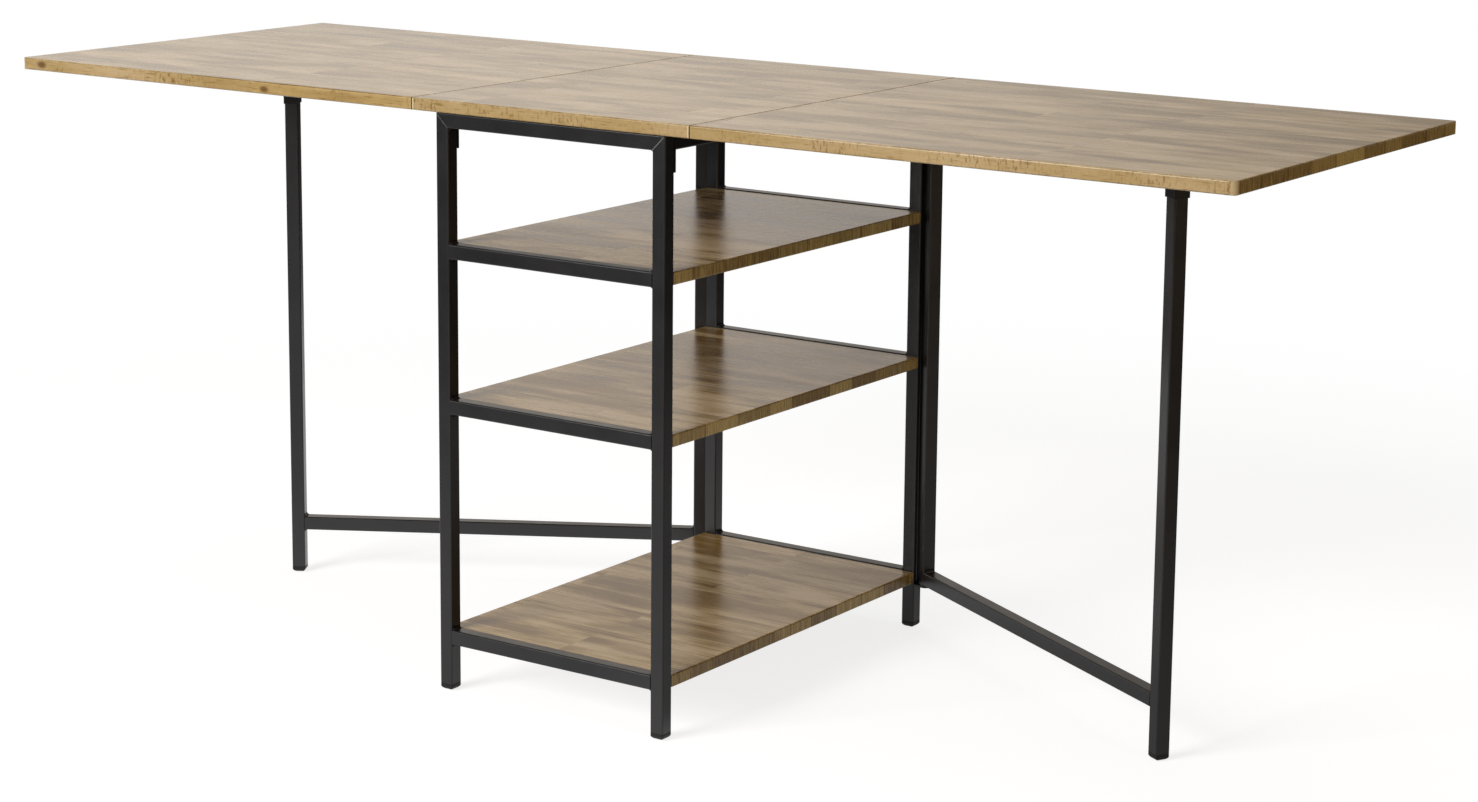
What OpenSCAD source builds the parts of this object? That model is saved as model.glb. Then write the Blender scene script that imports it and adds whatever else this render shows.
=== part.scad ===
// Drop-leaf dining table with a shelf frame in the middle and a swing-out gate leg under each leaf.
// X runs along the open top, Y from the front to the rear, Z up from the floor.
// The origin is on the floor under the middle of the top.

/* [Table top] */
// Height of the top surface above the floor
table_height = 762; // [720:1:920]
// Thickness of the top panels and of the shelves
board = 16; // [15:0.5:20]
// Length of each folding leaf
leaf_length = 701; // [620:1:800]
// Gap between the centre panel and a leaf
leaf_gap = 1.5; // [1:0.1:3]
// How far the centre panel reaches past each side of the frame
side_overhang = 36; // [33:1:60]
// How far the top reaches past the front and the rear of the frame
end_overhang = 3; // [3:0.5:40]
// Plan radius of the free corners of the leaves
leaf_corner_r = 10; // [2:0.5:20]
// Plan radius of every other board corner
board_corner_r = 0.5; // [0.5:0.5:5]
// Rounding along the edges of every board
arris_r = 2; // [0.5:0.1:3]
// Rounding along the edges where the top panels meet
joint_arris_r = 0.5; // [0.5:0.1:3]

/* [Frame] */
// Width of the frame over its posts
frame_width = 352; // [320:1:400]
// Depth of the frame over its posts
frame_depth = 604; // [540:1:700]
// Side of the square steel tube
tube = 19; // [17:0.5:22]
// Wall of the square steel tube
wall = 1.2; // [1:0.1:2]
// Outer corner radius of the square steel tube
tube_r = 2; // [1.5:0.1:3]
// Height of the underside of the lower rails
lower_rail_z = 62; // [40:1:120]
// Height of the underside of the middle rails
middle_rail_z = 363; // [300:1:420]
// Height of the underside of the upper rails
upper_rail_z = 562; // [500:1:620]
// Gap between a shelf and the rails at its two ends
shelf_gap = 0.5; // [0.2:0.1:2]

/* [Joining parts] */
// Thickness of the plates on the ends of the side rails
end_plate_t = 3; // [2:0.5:5]
// Height of the plates on the ends of the side rails
end_plate_h = 46; // [42:1:60]
// Shank radius of the bolts that hold the side rails
bolt_r = 3; // [2.5:0.5:4]
// Depth of the threaded insert inside a post
insert_depth = 12; // [8:0.5:14]
// Thickness of the lugs under the shelves
lug_t = 2; // [1.5:0.5:4]
// Reach of a lug in from its rail
lug_reach = 24; // [20:1:40]
// Width of a lug
lug_w = 25; // [16:1:40]
// Distance of a lug's middle from the outer face of the post
lug_inset = 60; // [40:1:120]
// Distance of a top screw from the outer face of the post
panel_screw_inset = 85; // [50:1:130]
// Shank radius of the shelf and panel screws
screw_r = 2; // [1.5:0.25:2.5]
// How deep a screw bites into a board
screw_bite = 11; // [8:0.5:13]

/* [Gates] */
// Angle of an open gate from the length of the table
gate_open = 30; // [25:1:40]
// Height of the underside of the gate's low rail
gate_low_z = 64; // [50:1:120]
// Distance from the boards down to the top of the gate's top rail
gate_drop = 12; // [11:0.5:30]
// Thickness of the pivot tabs on the rear posts
tab_t = 3; // [2:0.5:5]
// Radius of the gate pivot pins
pivot_pin_r = 4; // [3:0.5:5]
// Depth of the plastic bushes in the ends of the hinge tube
bush_depth = 20; // [12:1:40]
// Thickness of the flange of a bush
bush_flange = 1; // [0.5:0.5:2]
// Height of the cap over the top of the leg
cap_h = 60; // [50:1:90]
// Wall of the cap's sleeve
cap_wall = 1; // [1:0.1:1.8]
// How far the cap widens on each side towards the leaf
cap_flare = 1.3; // [0.5:0.1:1.6]
// Thickness of the top of the cap
cap_top_t = 3; // [2:0.5:5]
// Height of the stop block under a leaf
stop_h = 14; // [12:0.5:20]
// Thickness of the stop block
stop_t = 12; // [9:0.5:20]
// Length of the stop block
stop_l = 32; // [30:1:60]

/* [Feet] */
// Height of the part of a foot that shows
foot_h = 9; // [8:0.5:20]
// Rounding of a foot's lower edges
foot_r = 7; // [3:0.5:7.5]
// Length of the plug inside the tube
foot_plug = 18; // [10:1:40]

/* [Leaf hinges] */
// Distance between the two hinges of a leaf
hinge_spread = 400; // [300:1:440]
// Length of a hinge along its pin
hinge_l = 50; // [40:1:80]
// Width of each plate of a hinge
hinge_w = 28; // [24:1:30]
// Thickness of the hinge plates
hinge_t = 1.5; // [1.2:0.1:2]
// Outer radius of the hinge knuckles
knuckle_r = 3; // [2.5:0.1:3.5]
// Radius of the hinge pins
hinge_pin_r = 1.5; // [1:0.1:1.8]
// Shank radius of the hinge and stop screws
small_screw_r = 1.75; // [1.5:0.25:2]

/* [Hidden] */
$fn = 48;
wood = "#B39B7A";
steel = "#2A282B";
plastic = "#161616";
zinc = "#A9AAAB";

// Running gap round a pin, slack of a fit that is pressed in, and clearance of moving faces
run_fit = 0.05;
slack = 0.05;
clear = 0.3;
knuckles = 5;
pan_head_r = 4;
pan_head_h = 2.4;
bolt_head_r = 5.25;
bolt_head_h = 3.3;
flat_head_h = hinge_t;
// Half length and width of the slots of a cross recess, and corner radius of a bolt's hexagon socket
cross_r = 1.9;
cross_w = 1;
socket_r = 2.9;
insert_r = bolt_r + 1.5;
pin_head = 1;
over = 1;

underside = table_height - board;
table_depth = frame_depth + 2 * end_overhang;
centre_width = frame_width + 2 * side_overhang;
bore = tube - 2 * wall;
bore_r = max(tube_r - wall, 0.3);

post_x = (frame_width - tube) / 2;
post_y = (frame_depth - tube) / 2;
inner_y = post_y - tube / 2;
rail_heights = [lower_rail_z, middle_rail_z, upper_rail_z];

// The gate clears its post while its square tube turns, to the next half millimetre
turning_r = (tube / 2 - tube_r) * sqrt(2) + tube_r;
pivot_x = frame_width / 2 + ceil(2 * (turning_r + clear)) / 2;
pivot_y = post_y;
arm = 2 * post_y;
gate_top_z = underside - gate_drop;
cap_top_z = underside - clear;
leg_top_z = cap_top_z - cap_top_t;
cap_low_z = cap_top_z - cap_h;
cap_sleeve_w = tube + 2 * cap_wall;
cap_top_w = cap_sleeve_w + 2 * cap_flare;
cap_flare_start = 9;
cap_flare_end = 18;
stop_y = cap_top_w / 2 + clear;
low_tab_z = gate_low_z - bush_flange - clear - tab_t;
high_tab_z = gate_top_z + bush_flange + clear;

hinge_x = (centre_width + leaf_gap) / 2;
hinge_z = underside - knuckle_r - clear;
plate_start = knuckle_r + clear;
knuckle_l = hinge_l / knuckles;
hinge_screw_ys = [for (i = [-1:1]) i * hinge_l / 3];
hinge_screw_x = (plate_start + hinge_w) / 2;

bolt_z = underside - tube - (end_plate_h - tube) / 2;

// Places. Each sub-part is drawn on the right and at the rear, and mirrored to the other places.

module on_side(side) mirror([side < 0 ? 1 : 0, 0, 0]) children();

module at_end(end) mirror([0, end < 0 ? 1 : 0, 0]) children();

module in_four_corners() for (side = [-1, 1]) for (end = [-1, 1]) on_side(side) at_end(end) children();

module at_gate() translate([pivot_x, pivot_y, 0]) rotate(-gate_open) children();

module at_hinges() for (end = [-1, 1]) translate([hinge_x, end * hinge_spread / 2, hinge_z]) children();

// Outlines and stock

module rounded_square(w, r) {
    square([w, w - 2 * r], center = true);
    square([w - 2 * r, w], center = true);
    for (x = [-1, 1]) for (y = [-1, 1]) translate([x, y] * (w / 2 - r)) circle(r);
}

// Rectangle from the origin with one radius on the low-x corners and one on the high-x corners
module rounded_rect(lx, ly, r_low, r_high) {
    translate([r_low, 0]) square([lx - r_low - r_high, ly]);
    translate([0, r_low]) square([r_low, ly - 2 * r_low]);
    translate([lx - r_high, r_high]) square([r_high, ly - 2 * r_high]);
    for (y = [r_low, ly - r_low]) translate([r_low, y]) circle(r_low);
    for (y = [r_high, ly - r_high]) translate([lx - r_high, y]) circle(r_high);
}

module tube_section() difference() {
    rounded_square(tube, tube_r);
    rounded_square(bore, bore_r);
}

module tube_up(x, y, z, length) translate([x, y, z]) linear_extrude(length) tube_section();

module tube_along_x(x, y, z, length)
    translate([x, y, z]) rotate([0, 90, 0]) linear_extrude(length) tube_section();

module tube_along_y(x, y, z, length)
    translate([x, y, z]) rotate([-90, 0, 0]) linear_extrude(length) tube_section();

// Board with its low corner at the origin and its edges rounded: a plan radius and an edge rounding at each end
module blank(lx, ly, r_low, r_high, arris_low = arris_r, arris_high = arris_r) intersection() {
    linear_extrude(board) rounded_rect(lx, ly, r_low, r_high);
    rotate([90, 0, 90]) linear_extrude(lx) rounded_rect(ly, board, arris_r, arris_r);
    translate([0, ly, 0]) rotate([90, 0, 0]) linear_extrude(ly) rounded_rect(lx, board, arris_low, arris_high);
}

// Half-space beyond the mitre line of a top corner: the rail's side of it, or the post's
module mitre(rail_side) {
    reach = tube + over;
    above = [[-reach, over], [0, over]];
    beside = [[over, -reach], [over, 0]];
    translate([frame_width / 2, post_y + reach, underside]) rotate([90, 0, 0]) linear_extrude(2 * reach)
        polygon(concat([[0, 0], [-reach, -reach]], rail_side ? above : beside));
}

// Fasteners, drawn head down with the seat of the head at z = 0

module cross_recess(depth) for (turn = [0, 90])
    rotate(turn) translate([-cross_r, -cross_w / 2, -over]) cube([2 * cross_r, cross_w, depth + over]);

module pan_screw(grip) {
    translate([0, 0, -pan_head_h]) difference() {
        cylinder(r = pan_head_r, h = pan_head_h);
        cross_recess(0.6 * pan_head_h);
    }
    cylinder(r = screw_r, h = grip + screw_bite);
}

module flat_screw(grip) {
    difference() {
        cylinder(r1 = 2 * small_screw_r, r2 = small_screw_r, h = flat_head_h);
        cross_recess(0.6 * flat_head_h);
    }
    translate([0, 0, flat_head_h]) cylinder(r = small_screw_r, h = grip + screw_bite - flat_head_h);
}

module flat_screw_hole(depth) {
    cylinder(r1 = 2 * small_screw_r + slack, r2 = small_screw_r + slack, h = flat_head_h);
    translate([0, 0, -over]) cylinder(r = 2 * small_screw_r + slack, h = over);
    cylinder(r = small_screw_r + slack, h = depth);
}

// Places of the screws

module shelf_screw_places(rail_z) in_four_corners()
    translate([frame_width / 2 - lug_inset, inner_y - lug_reach / 2, rail_z]) children();

module end_rail_screw_places()
    for (side = [-1, 1]) translate([side * (frame_width / 2 - panel_screw_inset), post_y, 0]) children();

module side_rail_screw_place() translate([post_x, 0, 0]) children();

module panel_screw_places() {
    for (end = [-1, 1]) at_end(end) end_rail_screw_places() children();
    for (side = [-1, 1]) on_side(side) side_rail_screw_place() children();
}

module hinge_screw_places(direction) at_hinges() for (y = hinge_screw_ys)
    translate([direction * hinge_screw_x, y, underside - hinge_t - hinge_z]) children();

module stop_screw_places() at_gate() for (i = [-1, 1])
    translate([arm + i * stop_l / 4, stop_y + stop_t / 2, underside - stop_h]) children();

// Top

module centre_panel() color(wood) difference() {
    translate([-centre_width / 2, -table_depth / 2, underside])
        blank(centre_width, table_depth, board_corner_r, board_corner_r, joint_arris_r, joint_arris_r);
    panel_screw_places() translate([0, 0, underside - over])
        cylinder(r = screw_r + slack, h = screw_bite + 2 * over);
    for (side = [-1, 1]) on_side(side) hinge_screw_places(-1)
        cylinder(r = small_screw_r + slack, h = hinge_t + screw_bite + over);
}

module leaf(side) color(wood) on_side(side) difference() {
    translate([centre_width / 2 + leaf_gap, -table_depth / 2, underside])
        blank(leaf_length, table_depth, board_corner_r, leaf_corner_r, joint_arris_r, arris_r);
    hinge_screw_places(1) cylinder(r = small_screw_r + slack, h = hinge_t + screw_bite + over);
    stop_screw_places() cylinder(r = small_screw_r + slack, h = stop_h + screw_bite + over);
}

// Shelves and what holds them

module shelf(rail_z) color(wood) difference() {
    shelf_y = inner_y - shelf_gap;
    translate([-frame_width / 2, -shelf_y, rail_z + lug_t])
        blank(frame_width, 2 * shelf_y, board_corner_r, board_corner_r);
    shelf_screw_places(rail_z) cylinder(r = screw_r + slack, h = lug_t + screw_bite + over);
}

module shelf_lugs() color(steel) for (rail_z = rail_heights) difference() {
    in_four_corners() translate([frame_width / 2 - lug_inset - lug_w / 2, inner_y - lug_reach, rail_z])
        cube([lug_w, lug_reach, lug_t]);
    shelf_screw_places(rail_z) translate([0, 0, -over]) cylinder(r = screw_r + clear, h = lug_t + 2 * over);
}

module shelf_screws() color(zinc) for (rail_z = rail_heights) shelf_screw_places(rail_z) pan_screw(lug_t);

// Frame

module post(side, end) color(steel) on_side(side) at_end(end) difference() {
    tube_up(post_x, post_y, foot_h, underside - foot_h);
    mitre(rail_side = true);
    translate([post_x, inner_y - over, bolt_z]) rotate([-90, 0, 0])
        cylinder(r = insert_r + slack, h = wall + 2 * over);
}

module top_rail(end) color(steel) at_end(end) difference() {
    tube_along_x(-frame_width / 2, post_y, underside - tube / 2, frame_width);
    for (side = [-1, 1]) on_side(side) mitre(rail_side = false);
    end_rail_screw_places() rail_screw_hole();
}

module rail(end, rail_z) color(steel) at_end(end)
    tube_along_x(-post_x + tube / 2, post_y, rail_z + tube / 2, 2 * post_x - tube);

module side_rail(side) color(steel) on_side(side) difference() {
    tube_along_y(post_x, -inner_y + end_plate_t, underside - tube / 2, 2 * (inner_y - end_plate_t));
    side_rail_screw_place() rail_screw_hole();
}

// Hole in the upper wall of a tube, under a wider one in the lower wall that lets the head in
module rail_screw_hole() translate([0, 0, underside - tube - over]) {
    cylinder(r = screw_r + clear, h = tube + 2 * over);
    cylinder(r = pan_head_r + clear, h = tube / 2);
}

module side_rail_end_plates() color(steel) in_four_corners() difference() {
    translate([post_x - tube / 2, inner_y - end_plate_t, underside - end_plate_h])
        cube([tube, end_plate_t, end_plate_h]);
    translate([post_x, inner_y - end_plate_t - over, bolt_z]) rotate([-90, 0, 0])
        cylinder(r = bolt_r + clear, h = end_plate_t + 2 * over);
}

module frame_bolts() color(zinc) at_bolts(inner_y - end_plate_t) {
    translate([0, 0, -bolt_head_h]) difference() {
        cylinder(r = bolt_head_r, h = bolt_head_h);
        translate([0, 0, -over]) cylinder(r = socket_r, h = 0.6 * bolt_head_h + over, $fn = 6);
    }
    cylinder(r = bolt_r, h = end_plate_t + insert_depth);
}

module threaded_inserts() color(zinc) at_bolts(inner_y) difference() {
    cylinder(r = insert_r, h = insert_depth);
    translate([0, 0, -over]) cylinder(r = bolt_r + slack, h = insert_depth + 2 * over);
}

module at_bolts(y) in_four_corners() translate([post_x, y, bolt_z]) rotate([-90, 0, 0]) children();

module panel_screws() color(zinc) panel_screw_places() translate([0, 0, underside - wall]) pan_screw(wall);

module foot() {
    plug_w = bore - 2 * slack;
    intersection() {
        linear_extrude(foot_h) rounded_square(tube, tube_r);
        for_both_ways() foot_profile();
    }
    translate([0, 0, foot_h]) linear_extrude(foot_plug) rounded_square(plug_w, bore_r);
}

module for_both_ways() intersection() {
    translate([0, tube, 0]) rotate([90, 0, 0]) linear_extrude(2 * tube) children();
    rotate([0, 0, 90]) translate([0, tube, 0]) rotate([90, 0, 0]) linear_extrude(2 * tube) children();
}

module foot_profile() {
    translate([-tube / 2, foot_r]) square([tube, foot_h - foot_r]);
    translate([-tube / 2 + foot_r, 0]) square([tube - 2 * foot_r, foot_r]);
    for (x = [-1, 1]) translate([x * (tube / 2 - foot_r), foot_r]) circle(foot_r);
}

module frame_feet() color(plastic) in_four_corners() translate([post_x, post_y, 0]) foot();

// Gate pivots on the rear posts

module pivot_tab(z) translate([0, 0, z]) linear_extrude(tab_t) difference() {
    union() {
        translate([frame_width / 2, pivot_y - tube / 2]) square([pivot_x - frame_width / 2, tube]);
        translate([pivot_x, pivot_y]) circle(tube / 2);
    }
    translate([pivot_x, pivot_y]) circle(pivot_pin_r + slack);
}

module pivot_tabs(side) color(steel) on_side(side) {
    pivot_tab(low_tab_z);
    pivot_tab(high_tab_z);
}

module pivot_pin(length) {
    cylinder(r = pivot_pin_r, h = length);
    translate([0, 0, -pin_head]) cylinder(r = pivot_pin_r + 1.5, h = pin_head);
}

module pivot_pins(side) color(zinc) on_side(side) translate([pivot_x, pivot_y, 0]) {
    length = tab_t + clear + bush_flange + bush_depth;
    translate([0, 0, low_tab_z]) pivot_pin(length);
    translate([0, 0, high_tab_z + tab_t]) mirror([0, 0, 1]) pivot_pin(length);
}

// Gates

module gate_hinge_tube(side) color(steel) on_side(side) at_gate()
    tube_up(0, 0, gate_low_z, gate_top_z - gate_low_z);

module gate_rail(side, z) color(steel) on_side(side) at_gate()
    tube_along_x(tube / 2, 0, z + tube / 2, arm - tube);

module gate_leg(side) color(steel) on_side(side) at_gate() tube_up(arm, 0, foot_h, leg_top_z - foot_h);

module gate_foot(side) color(plastic) on_side(side) at_gate() translate([arm, 0, 0]) foot();

module gate_bush() difference() {
    union() {
        translate([0, 0, -bush_flange]) linear_extrude(bush_flange) rounded_square(tube, tube_r);
        linear_extrude(bush_depth) rounded_square(bore - 2 * slack, bore_r);
    }
    translate([0, 0, -bush_flange - over])
        cylinder(r = pivot_pin_r + run_fit, h = bush_flange + bush_depth + 2 * over);
}

module gate_bushes(side) color(plastic) on_side(side) at_gate() {
    translate([0, 0, gate_low_z]) gate_bush();
    translate([0, 0, gate_top_z]) mirror([0, 0, 1]) gate_bush();
}

// Outline of the cap from the side: a sleeve that widens towards the leaf
module cap_profile() {
    half = cap_sleeve_w / 2;
    wide = cap_top_w / 2;
    polygon([
        [-half, 0], [half, 0], [half, cap_flare_start], [wide, cap_flare_end],
        [wide, cap_h], [-wide, cap_h], [-wide, cap_flare_end], [-half, cap_flare_start]
    ]);
}

module gate_cap(side) color(plastic) on_side(side) at_gate() translate([arm, 0, 0]) difference() {
    translate([0, 0, cap_low_z]) intersection() {
        linear_extrude(cap_h) rounded_square(cap_top_w, tube_r);
        for_both_ways() cap_profile();
    }
    translate([0, 0, cap_low_z - over])
        linear_extrude(leg_top_z - cap_low_z + over) rounded_square(tube + 2 * slack, tube_r);
    translate([-cap_top_w, -tube / 2 - clear, cap_low_z - over])
        cube([cap_top_w, tube + 2 * clear, gate_top_z + clear - cap_low_z + over]);
}

module gate_stop(side) color(plastic) on_side(side) difference() {
    at_gate() translate([arm - stop_l / 2, stop_y, underside - stop_h])
        linear_extrude(stop_h) rounded_rect(stop_l, stop_t, tube_r, tube_r);
    stop_screw_places() flat_screw_hole(stop_h + over);
}

module stop_screws(side) color(zinc) on_side(side) stop_screw_places() flat_screw(stop_h);

// Leaf hinges. A plate lies on one side of the pin: direction -1 is the centre panel, 1 the leaf.

module hinge_half(direction, first_knuckle) {
    top = underside - hinge_z;
    difference() {
        union() {
            translate([direction > 0 ? plate_start : -hinge_w, -hinge_l / 2, top - hinge_t])
                cube([hinge_w - plate_start, hinge_l, hinge_t]);
            for (i = [first_knuckle:2:knuckles - 1])
                translate([0, -hinge_l / 2 + i * knuckle_l + clear / 2, 0]) hinge_knuckle(direction, top);
        }
        translate([0, hinge_l / 2 + over, 0]) rotate([90, 0, 0])
            cylinder(r = hinge_pin_r + run_fit, h = hinge_l + 2 * over);
        for (y = hinge_screw_ys) translate([direction * hinge_screw_x, y, top - hinge_t])
            flat_screw_hole(hinge_t + over);
    }
}

module hinge_knuckle(direction, top) {
    length = knuckle_l - clear;
    translate([0, length, 0]) rotate([90, 0, 0]) cylinder(r = knuckle_r, h = length);
    translate([direction > 0 ? 0 : -plate_start - over, 0, top - hinge_t])
        cube([plate_start + over, length, hinge_t]);
}

module hinge_fixed_plates(side) color(zinc) on_side(side) at_hinges() hinge_half(-1, 0);

module hinge_moving_plates(side) color(zinc) on_side(side) at_hinges() hinge_half(1, 1);

module hinge_pins(side) color(zinc) on_side(side) at_hinges()
    translate([0, hinge_l / 2, 0]) rotate([90, 0, 0]) cylinder(r = hinge_pin_r, h = hinge_l);

module hinge_screws(side, direction) color(zinc) on_side(side)
    hinge_screw_places(direction) flat_screw(hinge_t);

centre_panel();
leaf(-1);  // left_leaf
leaf(1);  // right_leaf
shelf(upper_rail_z);  // upper_shelf
shelf(middle_rail_z);  // middle_shelf
shelf(lower_rail_z);  // lower_shelf
post(-1, -1);  // front_left_post
post(1, -1);  // front_right_post
post(-1, 1);  // rear_left_post
post(1, 1);  // rear_right_post
top_rail(-1);  // front_top_rail
rail(-1, upper_rail_z);  // front_upper_rail
rail(-1, middle_rail_z);  // front_middle_rail
rail(-1, lower_rail_z);  // front_lower_rail
top_rail(1);  // rear_top_rail
rail(1, upper_rail_z);  // rear_upper_rail
rail(1, middle_rail_z);  // rear_middle_rail
rail(1, lower_rail_z);  // rear_lower_rail
side_rail(-1);  // left_side_rail
side_rail(1);  // right_side_rail
side_rail_end_plates();
frame_bolts();
threaded_inserts();
shelf_lugs();
shelf_screws();
panel_screws();
frame_feet();
pivot_tabs(-1);  // left_pivot_tabs
pivot_pins(-1);  // left_pivot_pins
pivot_tabs(1);  // right_pivot_tabs
pivot_pins(1);  // right_pivot_pins
gate_hinge_tube(-1);  // left_gate_hinge_tube
gate_rail(-1, gate_top_z - tube);  // left_gate_top_rail
gate_rail(-1, gate_low_z);  // left_gate_low_rail
gate_leg(-1);  // left_gate_leg
gate_foot(-1);  // left_gate_foot
gate_cap(-1);  // left_gate_cap
gate_bushes(-1);  // left_gate_bushes
gate_hinge_tube(1);  // right_gate_hinge_tube
gate_rail(1, gate_top_z - tube);  // right_gate_top_rail
gate_rail(1, gate_low_z);  // right_gate_low_rail
gate_leg(1);  // right_gate_leg
gate_foot(1);  // right_gate_foot
gate_cap(1);  // right_gate_cap
gate_bushes(1);  // right_gate_bushes
hinge_fixed_plates(-1);  // left_hinge_fixed_plates
hinge_moving_plates(-1);  // left_hinge_moving_plates
hinge_pins(-1);  // left_hinge_pins
hinge_screws(-1, -1);  // left_hinge_panel_screws
hinge_screws(-1, 1);  // left_hinge_leaf_screws
hinge_fixed_plates(1);  // right_hinge_fixed_plates
hinge_moving_plates(1);  // right_hinge_moving_plates
hinge_pins(1);  // right_hinge_pins
hinge_screws(1, -1);  // right_hinge_panel_screws
hinge_screws(1, 1);  // right_hinge_leaf_screws
gate_stop(-1);  // left_gate_stop
gate_stop(1);  // right_gate_stop
stop_screws(-1);  // left_stop_screws
stop_screws(1);  // right_stop_screws
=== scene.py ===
# Finishes and small details of a drop-leaf dining table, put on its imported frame.
import math

import bpy
from bpy.props import FloatProperty, FloatVectorProperty, PointerProperty
from mathutils import Matrix, Vector


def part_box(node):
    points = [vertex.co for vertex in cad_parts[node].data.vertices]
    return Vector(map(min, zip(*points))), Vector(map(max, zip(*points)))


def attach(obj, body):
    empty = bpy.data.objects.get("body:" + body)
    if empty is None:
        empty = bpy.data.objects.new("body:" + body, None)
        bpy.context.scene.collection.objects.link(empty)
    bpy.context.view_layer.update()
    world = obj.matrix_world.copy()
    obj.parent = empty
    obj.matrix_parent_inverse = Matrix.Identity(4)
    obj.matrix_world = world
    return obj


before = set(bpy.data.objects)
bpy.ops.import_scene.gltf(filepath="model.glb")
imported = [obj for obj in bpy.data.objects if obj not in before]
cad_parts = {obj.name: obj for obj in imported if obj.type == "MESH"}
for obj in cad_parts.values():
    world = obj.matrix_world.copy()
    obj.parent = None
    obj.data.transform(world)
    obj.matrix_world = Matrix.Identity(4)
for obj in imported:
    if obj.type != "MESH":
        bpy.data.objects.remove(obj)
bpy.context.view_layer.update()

bl_info = {
    "name": "Drop-leaf table finishes",
    "version": (1, 0, 0),
    "blender": (4, 5, 0),
    "location": "3D View > Sidebar > Table",
    "description": "Laminate, powder coat, plating, welds and studio for a drop-leaf dining table",
    "category": "Object",
}

MM = 0.001
WHITE = (1.0, 1.0, 1.0, 1.0)
BOARDS = ["centre_panel", "left_leaf", "right_leaf", "upper_shelf", "middle_shelf", "lower_shelf"]

# Distance from the middle of the table to the centre panel's edge, and into the gap beside it
PANEL_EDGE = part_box("centre_panel")[1].x
JOINT = PANEL_EDGE + 0.4 * MM

# All shelves lie below the first height and the top lies above the second
BELOW_TOP = (0.65, 0.7)

# The lamps point at this place inside the table
AIM = (0.0, 0.0, 0.5)


def linear(code):
    """Linear RGB of an sRGB hex colour."""
    parts = [int(code[i:i + 2], 16) / 255 for i in (1, 3, 5)]
    return tuple(c / 12.92 if c <= 0.04045 else ((c + 0.055) / 1.055) ** 2.4 for c in parts)


def rgba(colour):
    return (*colour, 1.0)


def cells(*sizes):
    """Scale of a pattern along each axis, from its cells' sizes in millimetres. 0 leaves an axis out."""
    return tuple(1 / (size * MM) if size else 0.0 for size in sizes)


def add(tree, kind, *values, **named):
    """Adds a node. Lower-case names are its settings and the other names its inputs. Values without a name
    fill its inputs in order: for a Map Range its value, the low and high it comes from, and those it goes to.
    A value is a number, a socket, or a node that stands for its first output."""
    node = tree.nodes.new(kind)
    for name, value in named.items():
        if name.islower():
            setattr(node, name, value)
    free = [socket for socket in node.inputs if socket.enabled]
    pairs = list(zip(free, values))
    for name, value in named.items():
        if not name.islower():
            pairs.append((next(socket for socket in free if socket.name == name.replace("_", " ")), value))
    for socket, value in pairs:
        if isinstance(value, bpy.types.Node):
            value = next(output for output in value.outputs if output.enabled)
        if isinstance(value, bpy.types.NodeSocket):
            tree.links.new(value, socket)
        else:
            socket.default_value = value
    return node


def new_material(name):
    material = bpy.data.materials.new(name)
    material.use_nodes = True
    material.node_tree.nodes.clear()
    return material, material.node_tree


def finish_material(tree, **inputs):
    """Principled surface with the inputs that the pattern gives."""
    add(tree, "ShaderNodeOutputMaterial", add(tree, "ShaderNodeBsdfPrincipled", **inputs))


def dress(nodes, material):
    """Gives CAD nodes this one material."""
    for name in nodes:
        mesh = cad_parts[name].data
        mesh.materials.clear()
        mesh.materials.append(material)


def cad_nodes(*words):
    """Names of the CAD nodes that hold one of the words."""
    return [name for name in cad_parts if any(word in name for word in words)]


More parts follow.
